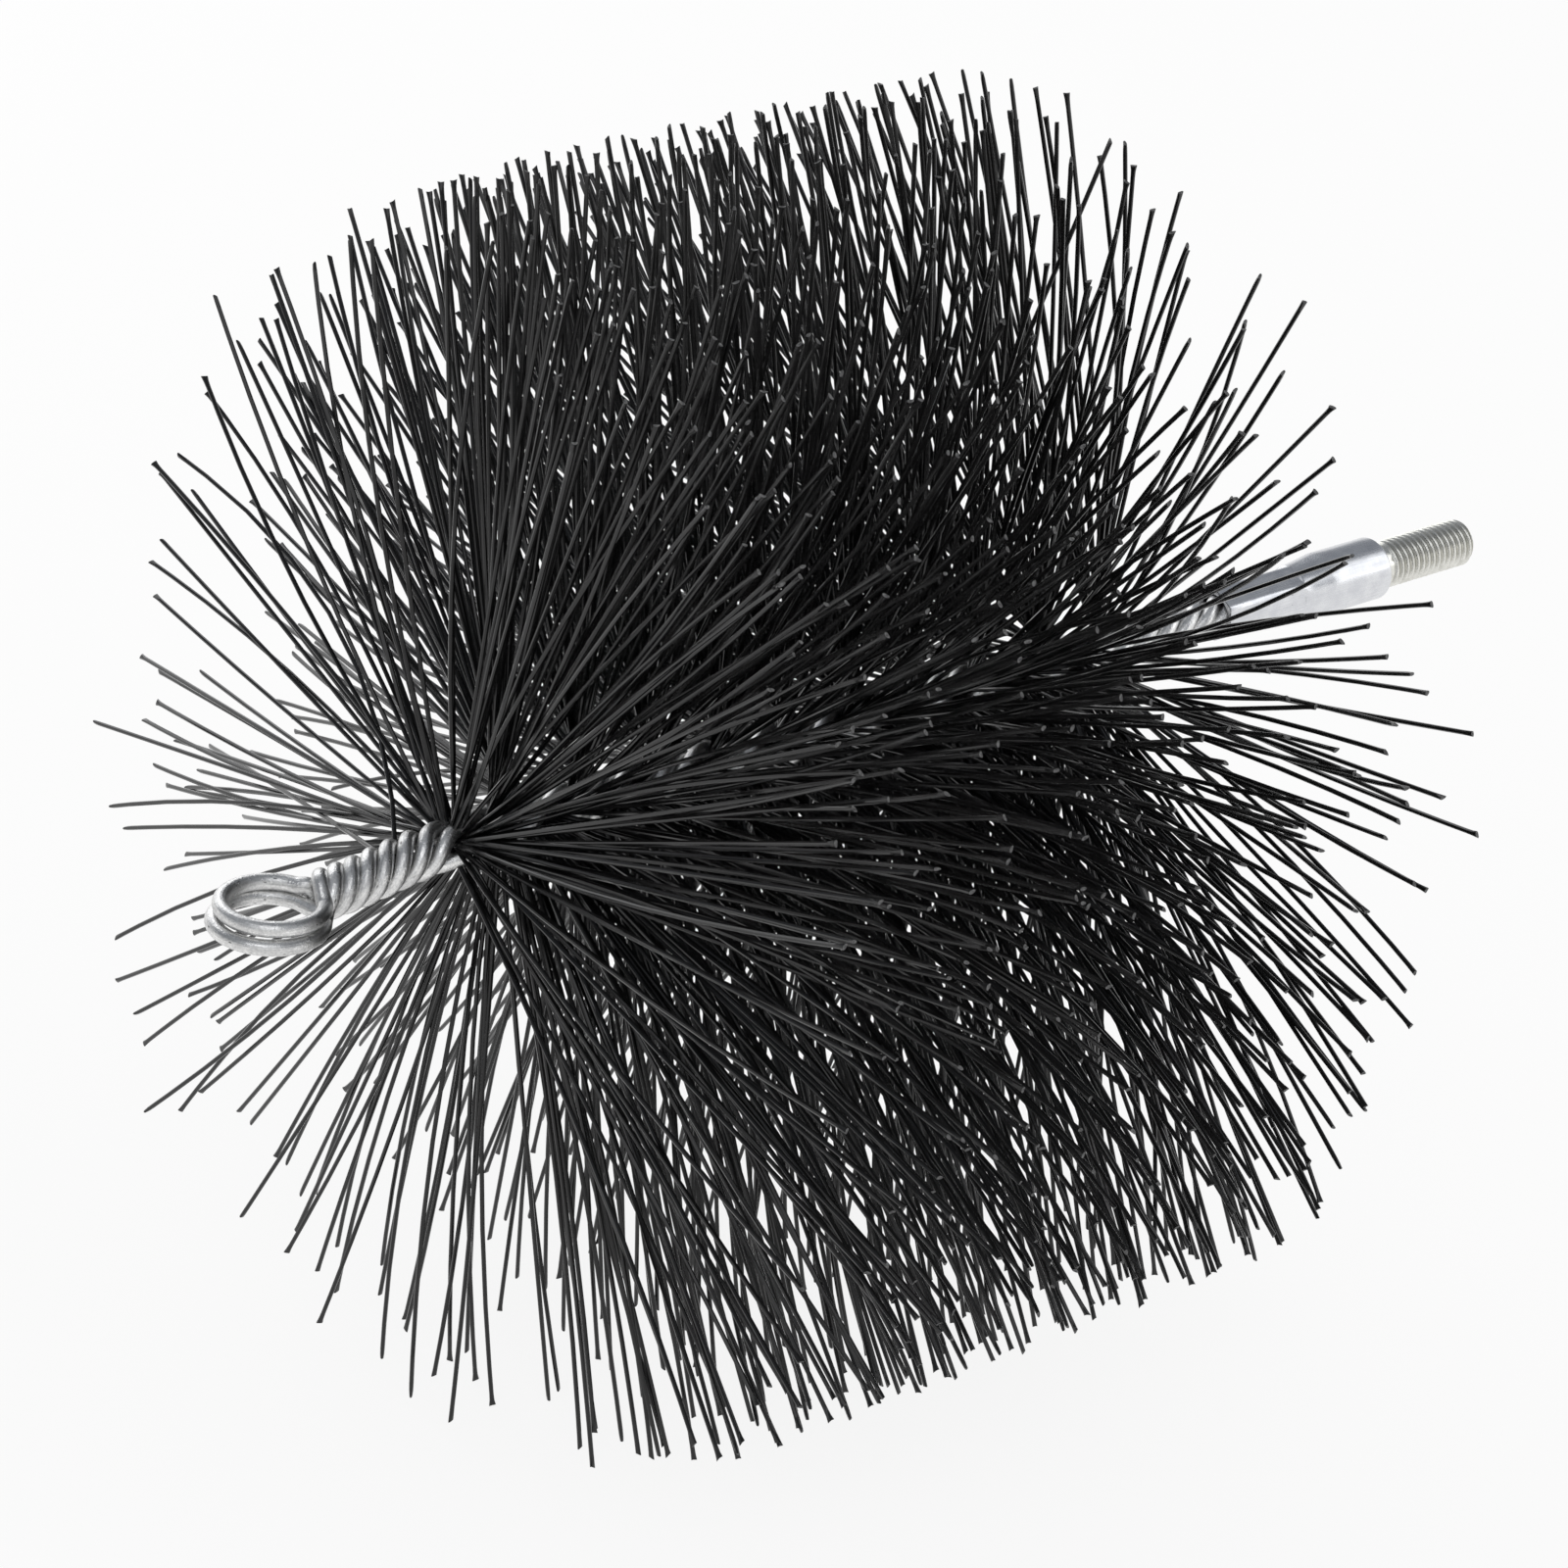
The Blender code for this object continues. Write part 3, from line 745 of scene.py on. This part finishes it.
dull = add_range(tree, marks, 0.0, 1.0, *aluminium_roughness)
tree.links.new(dull, surface["Roughness"])
relief = add_math(tree, "SUBTRACT", add_math(tree, "MULTIPLY", marks, mark_height),
                  add_math(tree, "MULTIPLY", nicks["Mask"], nick_height))
relief = add_math(tree, "ADD", relief, add_math(tree, "MULTIPLY", clouds, cloud_height))
tree.links.new(add_bump(tree, relief, ferrule_bump_strength, ferrule_bump_depth),
               surface["Normal"])
ferrule = new_piece("ferrule_aluminium", verts, faces, [aluminium])
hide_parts("ferrule")

# Threaded stud. Zinc-plated steel with a right-hand metric thread, pressed into the ferrule's bore;
# a short plain neck shows before the thread, and the end is chamfered to start in a rod's socket.
thread_diameter = 0.010
thread_pitch = 0.0015
thread_depth = 0.00092
thread_roundness = 0.7
thread_run_in = 0.9
thread_segments = 72
thread_rows = 12
relief_length = 0.0026
relief_mark = 0.45
hidden_length = 0.001
shank_diameter = 0.0093
shank_wear = 0.0001
stud_chamfer = 0.0011

# Colours, gloss and grain of the plated stud, which is darker in the grooves of its thread.
plating_dark = (0.66, 0.655, 0.61, 1.0)
plating_light = (0.82, 0.815, 0.77, 1.0)
plating_roughness = (0.34, 0.24)
groove_dark_colour = (0.20, 0.195, 0.17, 1.0)
groove_dark_share = 0.75
groove_dark_start = 0.45
stud_bump_strength = 0.25
stud_bump_depth = 0.00003


def thread_radius(phases):
    """Radii of the rounded thread by their shares of a pitch."""
    waves = 0.5 + 0.5 * np.cos(math.tau * phases)
    return thread_diameter / 2 - thread_depth * (1 - waves ** thread_roundness)


shank_radius = shank_diameter / 2 - shank_wear
thread_start = shoulder_x + relief_length
thread_length = stud_end_x - thread_start
row_count = round(thread_length / thread_pitch * thread_rows)
stations = [shoulder_x - hidden_length, shoulder_x + relief_length * relief_mark]
stations += [thread_start + thread_length * row / row_count for row in range(row_count + 1)]
verts = []
for x in stations:
    phases = (x - thread_start) / thread_pitch - np.arange(thread_segments) / thread_segments
    run_in = shank_radius + (x - thread_start) * thread_run_in
    chamfer = thread_diameter / 2 - stud_chamfer + (stud_end_x - x)
    radii = np.minimum(thread_radius(phases), min(run_in, chamfer))
    if x <= thread_start:
        radii = np.full(thread_segments, shank_radius)
    verts += axis_ring(x, radii)
faces = tube_faces(len(stations), thread_segments)

zinc, tree, surface = new_finish("plated_zinc", 1.0)
places = object_places(tree)
grain = add_group(tree, zinc_mottle, places, Patch_Scale=600.0, Speck_Scale=3000.0,
                  Speck_Share=0.35, Dark=plating_dark, Light=plating_light)
# The colour is darker in the thread's grooves, by depth below the crests.
in_groove = add_range(tree, axis_distance(tree, places),
                      thread_diameter / 2 - thread_depth * groove_dark_start,
                      thread_diameter / 2 - thread_depth)
groove_darkened = add_mix(tree, add_math(tree, "MULTIPLY", in_groove, groove_dark_share), grain["Colour"],
                groove_dark_colour)
tree.links.new(groove_darkened, surface["Base Color"])
dull = add_range(tree, grain["Mask"], 0.0, 1.0, *plating_roughness)
tree.links.new(dull, surface["Roughness"])
tree.links.new(add_bump(tree, grain["Mask"], stud_bump_strength, stud_bump_depth),
               surface["Normal"])
stud = new_piece("threaded_stud_zinc", verts, faces, [zinc])
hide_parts("threaded_stud")

# Bristles. Stiff black plastic filaments, laid right through the stem between the two pairs of
# strands, so each has two ends; the brush is then sheared round, which flares every cut tip.
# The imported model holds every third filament; the scene lays those the same way, and the rest.
tip_radius = 0.120
bristle_radius = 0.00044
bristle_sides = 8
bristle_marks = [0.0, 0.12, 0.26, 0.40, 0.54, 0.68, 0.82, 0.93]
filament_count = 720
packed_step = 3
first_packed = 1
tuft_count = 20
bristle_seed = 11
scatter_step_share = 0.618
scatter_slip_step = 3
packed_scatter = math.radians(1.5)
swing_scatter = math.radians(2.6)
lean_scatter = math.radians(2.4)
lean_scatter_ends = math.radians(3.0)
widest_scatter = 2
bend_scatter = 0.0015
length_scatter = 0.0030
floor_clear = 0.0005
lowest_point = 0.0001

# The cut tip flares over a short length to an oval, cut at a slant, with horns and a hollow. All
# but its length are shares of the bristle's radius.
tip_rings = 3
tip_flare_length = 0.0024
tip_neck_share = 0.4
tip_neck_width = 1.12
tip_neck_thickness = 0.95
tip_flare = 1.42
tip_flare_scatter = 0.1
tip_thickness = 0.75
tip_slant = 0.7
tip_horn = 0.35
tip_hollow = 0.3

# How far the bristles lean towards the stud, in degrees, by the way that they point round the
# stem, counted from +Y by way of the top, and how much shorter the first rows are sheared.
lean_ways = (0, 60, 120, 180, 240, 300, 360)
first_lean = (5, 14.5, 3, 11, 4, -10, 5)
front_lean = (11, 5.5, 2, 2, 2, 8, 11)
back_lean = (-6.5, -8, -15, -12, -6, -4.5, -6.5)
first_lean_share = 0.10
last_scatter_share = 0.07
first_loose_lean = (0, 0, 0, 0, -5, -4, 0)
front_shortness = (0.005, 0.035, 0.035, 0, -0.005, 0.01, 0.005)
back_shortness = (0, 0.015, 0.005, -0.005, -0.03, -0.01, 0)

# A few stray bristles: place along the stem from the first one, way round it and lean in degrees,
# reach from the axis, and how far they bow towards the stud. The first two stand in the neck.
strays = (
    (-0.0105, 20, 10.4, 0.118, 0.012), (-0.0105, 348, 13, 0.118, 0.0),
    (0.0005, 353, -4, 0.118, 0.0), (0.001, 342, -3, 0.118, 0.0), (0.002, 328, -8.5, 0.118, 0.0),
    (0.0015, 332, -7, 0.118, 0.0), (0.001, 315, -10, 0.118, 0.0), (0.095, 107, 12, 0.122, 0.0),
    (0.152, 161, -12, 0.118, 0.0),
)

# Nothing holds the first filaments from in front, so some splay round the stem. Their ways and
# leans are in degrees.
splay_count = 52
splay_first_way = 0
splay_last_way = 245
splay_way_scatter = 3
splay_shortness = (0.03, 0.10, 0.08, 0.04, 0.03, 0.03, 0.03)
splay_lean = 4
splay_lean_scatter = 4
splay_depth = 0.003

# Colours and gloss of the black plastic, and of its cut ends. Each filament is painted darker towards
# its root, as painted shade deep in the tuft, and paler towards its worn tip.
filament_dark = (0.0015, 0.0015, 0.0017, 1.0)
filament_light = (0.0105, 0.0103, 0.0103, 1.0)
filament_roughness = (0.10, 0.20)
filament_gloss = 0.42
# How far each filament pales from root to tip: painted shade at the roots, deep in the tuft, and
# paler worn tips.
root_shade_and_tip_wear = 0.65
streak_colour = (0.022, 0.022, 0.023, 1.0)
streak_scale = 3000.0
streak_stretch = (1.0, 1.0, 0.02)
streak_share = 0.30
streak_bump_strength = 0.12
streak_bump_depth = 0.00002
torn_dark = (0.045, 0.045, 0.046, 1.0)
torn_light = (0.16, 0.16, 0.16, 1.0)
torn_roughness = (0.50, 0.70)
torn_scale = 2600.0
torn_bump_strength = 0.5
torn_bump_depth = 0.00005

plastic, tree, surface = new_finish("black_filament", 0.0)
along_bristle = read_attribute(tree, "straight", "Vector")
# The filament's attribute holds its random tone and the painted shade that darkens it towards the
# root.
own_tone = read_attribute(tree, "tone_and_root_shade", "Fac")
streaks = add_noise(tree, stretched(tree, along_bristle, streak_stretch), streak_scale,
                    spread=0.15, detail=2.0)
black = add_mix(tree, own_tone, filament_dark, filament_light)
black = add_mix(tree, add_math(tree, "MULTIPLY", streaks, streak_share), black, streak_colour)
tree.links.new(black, surface["Base Color"])
dull = add_range(tree, streaks, 0.0, 1.0, *filament_roughness)
tree.links.new(dull, surface["Roughness"])
surface["Specular IOR Level"].default_value = filament_gloss
tree.links.new(add_bump(tree, streaks, streak_bump_strength, streak_bump_depth),
               surface["Normal"])

cut_plastic, tree, surface = new_finish("cut_filament", 0.0)
torn = add_noise(tree, object_places(tree), torn_scale, spread=0.15)
tree.links.new(add_mix(tree, torn, torn_dark, torn_light), surface["Base Color"])
tree.links.new(add_range(tree, torn, 0.0, 1.0, *torn_roughness), surface["Roughness"])
tree.links.new(add_bump(tree, torn, torn_bump_strength, torn_bump_depth), surface["Normal"])

draw = np.random.default_rng(bristle_seed)
forward = np.array((1.0, 0.0, 0.0))


def scatter(number):
    """An even scatter between -1 and 1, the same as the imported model's."""
    return 2 * ((number * scatter_step_share) % 1) - 1


def way_round(degrees):
    """The way that a bristle points round the stem, by its angle from +Y by way of the top."""
    return np.array((0, math.cos(math.radians(degrees)), math.sin(math.radians(degrees))))


def by_way(way, table):
    """A table's value for the way that a bristle points round the stem."""
    return np.interp(math.degrees(math.atan2(way[2], way[1])) % 360, lean_ways, table)


def bristle_lean(way, share):
    """How far a bristle leans towards the stud, by the way it points and its share of the length."""
    first, front, back = (by_way(way, lean) for lean in (first_lean, front_lean, back_lean))
    pushed = math.exp(-share / first_lean_share)
    return math.radians(first * pushed + front * (1 - pushed) * (1 - share) + back * share)


def filament_ends(number):
    """Roots, tips and bows of the two ends of one filament, which passes through the stem."""
    share = (number + 0.5) / filament_count
    x = first_x + bristle_length * share
    middle, out, across = (np.array(v) for v in stem_frame(x))
    layer = draw.uniform(-0.5, 0.5) * (pack_thickness - 2 * bristle_radius)
    root = middle + across * layer
    pushed = math.exp(-share / first_lean_share)
    pulled = math.exp((share - 1) / last_scatter_share)
    spread = lean_scatter + lean_scatter_ends * (pushed + pulled)
    for side in (1, -1):
        swing, slip = np.clip(draw.normal(0, 1, 2), -widest_scatter, widest_scatter)
        swing *= swing_scatter
        slip = slip * spread + math.radians(by_way(out * side, first_loose_lean)) * pushed
        shortness = abs(draw.normal(0, length_scatter))
        if number % packed_step == first_packed:
            packed_number = number // packed_step
            swing = packed_scatter * scatter(packed_number)
            slip = packed_scatter * scatter(packed_number * scatter_slip_step + side)
            shortness = 0.0
        way = (out * math.cos(swing) + across * math.sin(swing)) * side
        lean = bristle_lean(way, share) + slip
        shear = by_way(way, front_shortness) * (1 - share) + by_way(way, back_shortness) * share
        reach = tip_radius * (1 - shear) - shortness
        yield root, middle + (way * math.cos(lean) + forward * math.sin(lean)) * reach, 0.0


def stray_ends(place, degrees, lean, reach, bow):
    """Root, tip and bow of one stray bristle."""
    middle = np.array(stem_frame(first_x + place)[0])
    run = way_round(degrees) + forward * math.tan(math.radians(lean))
    return middle, middle + run * reach, bow


def splayed_ends():
    """Roots, tips and bows of the bristles that splay at the front."""
    for number in range(splay_count):
        share = (number + 0.5) / splay_count
        degrees = splay_first_way + (splay_last_way - splay_first_way) * share
        degrees += draw.normal(0, splay_way_scatter)
        lean = splay_lean + draw.normal(0, splay_lean_scatter)
        shortness = by_way(way_round(degrees), splay_shortness)
        reach = tip_radius * (1 - shortness) - abs(draw.normal(0, length_scatter))
        yield stray_ends(draw.uniform(0, splay_depth), degrees, lean, reach, 0.0)


def tuft_ends(tuft):
    """Roots, tips and bows of all the bristles of one tuft, with its stray and splayed ones."""
    numbers = range(tuft * filament_count // tuft_count, (tuft + 1) * filament_count // tuft_count)
    ends = [end for number in numbers for end in filament_ends(number)]
    ends += [stray_ends(*stray) for stray in strays
             if int(max(0, stray[0]) / bristle_length * tuft_count) == tuft]
    if tuft == 0:
        ends += splayed_ends()
    return ends


def bristle_points(root, tip, bow):
    """Points of one filament end and their straight places: bowed, flared and sheared at its tip."""
    if tip[2] < floor_clear:
        tip = root + (tip - root) * (root[2] - floor_clear) / (root[2] - tip[2])
    run = tip - root
    length = np.linalg.norm(run)
    flare_share = tip_flare_length / length
    marks = np.array(bristle_marks + [1 - flare_share, 1 - tip_neck_share * flare_share, 1.0])
    bend = draw.normal(0, bend_scatter, 3) + forward * bow
    points = root + run * marks[:, None] + bend * (4 * marks * (1 - marks))[:, None]
    along, one, two = path_frames(points)
    turn = draw.uniform(0, math.tau)
    wide = one * math.cos(turn) + two * math.sin(turn)
    thin = two * math.cos(turn) - one * math.sin(turn)
    flare = tip_flare * draw.uniform(1 - tip_flare_scatter, 1 + tip_flare_scatter)
    wide_radii = np.full(len(marks), bristle_radius)
    wide_radii[-2:] = bristle_radius * np.array([tip_neck_width, flare])
    thin_radii = np.full(len(marks), bristle_radius)
    thin_radii[-2:] = bristle_radius * np.array([tip_neck_thickness, tip_thickness])
    angles = np.arange(bristle_sides) / bristle_sides * math.tau
    rings = (points[:, None]
             + wide[:, None] * (wide_radii[:, None] * np.cos(angles))[:, :, None]
             + thin[:, None] * (thin_radii[:, None] * np.sin(angles))[:, :, None])
    slant = draw.uniform(-tip_slant, tip_slant)
    cut = slant * np.cos(angles) + tip_horn * np.cos(angles) ** 2
    rings[-1] += along[-1] * (cut * bristle_radius)[:, None]
    hollow = points[-1] - along[-1] * (tip_hollow * bristle_radius)
    verts = np.concatenate([rings.reshape(-1, 3), [hollow]])
    verts[:, 2] = np.maximum(verts[:, 2], lowest_point)
    start = draw.uniform(0, 1)
    straight = straight_places(start + marks * length, angles, bristle_radius)
    return verts, np.concatenate([straight, [(0, 0, start + length)]])


def bristle_template(rings):
    """Faces of one filament end, which of them are its cut tip, and their places in a map's cell.

    The tube unrolls into a strip that fills most of the cell; the two end caps lie beside it.
    """
    strip_left, strip_width, strip_start, strip_end = 0.1, 0.80, 0.03, 0.86
    cap_level, cap_width, cap_height = 0.94, 0.20, 0.035
    cut_cap_place, root_cap_place = 0.28, 0.72
    faces = tube_faces(rings, bristle_sides)[:-1]
    root_cap = faces.pop()
    heights = np.linspace(strip_start, strip_end, rings)
    columns = strip_left + strip_width * np.arange(bristle_sides + 1) / bristle_sides
    uvs = []
    for low, high in zip(heights, heights[1:]):
        for left, right in zip(columns, columns[1:]):
            uvs += [(left, low), (right, low), (right, high), (left, high)]
    angles = np.arange(bristle_sides) / bristle_sides * math.tau
    disc = [(cap_width * math.cos(a), cap_height * math.sin(a)) for a in angles]
    tip_ring = (rings - 1) * bristle_sides
    for side in range(bristle_sides):
        after = (side + 1) % bristle_sides
        faces.append((tip_ring + side, tip_ring + after, rings * bristle_sides))
        for across, up in (disc[side], disc[after], (0, 0)):
            uvs.append((cut_cap_place + across, cap_level + up))
    cut_faces = [False] * (len(faces) - bristle_sides) + [True] * bristle_sides + [False]
    faces.append(root_cap)
    for across, up in reversed(disc):
        uvs.append((root_cap_place + across, cap_level + up))
    return faces, cut_faces, np.array(uvs)


template_faces, template_cut, template_uvs = bristle_template(len(bristle_marks) + tip_rings)
for tuft in range(tuft_count):
    ends = tuft_ends(tuft)
    columns = math.ceil(len(ends) / 2)
    verts, straight, tones_and_root_shade, faces, uvs = [], [], [], [], []
    for number, end in enumerate(ends):
        first = sum(len(part) for part in verts)
        own_verts, own_straight = bristle_points(*end)
        verts.append(own_verts)
        straight.append(own_straight)
        # A random tone for each filament, to which painted shade towards the root and a paler worn
        # tip are added.
        own_tone = draw.uniform(0, 1) * (1 - root_shade_and_tip_wear)
        for mark in bristle_marks + [1] * tip_rings:
            tones_and_root_shade += [own_tone + root_shade_and_tip_wear * mark ** 2] * bristle_sides
        tones_and_root_shade.append(own_tone + root_shade_and_tip_wear)
        faces += [tuple(first + corner for corner in face) for face in template_faces]
        uvs.append((template_uvs + (number // 2, number % 2)) / (columns, 2))
    piece = new_piece(f"bristles_{tuft + 1:02d}", np.concatenate(verts), faces,
                      [plastic, cut_plastic], np.concatenate(straight))
    piece.data.polygons.foreach_set("material_index", [int(cut) for cut in template_cut] * len(ends))
    piece.data.attributes.new("tone_and_root_shade", "FLOAT", "POINT")
    piece.data.attributes["tone_and_root_shade"].data.foreach_set("value", tones_and_root_shade)
    baking = piece.data.uv_layers.new(name="OFBake")
    baking.data.foreach_set("uv", np.concatenate(uvs).ravel())
    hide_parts(f"bristle_tuft_{tuft + 1:02d}")
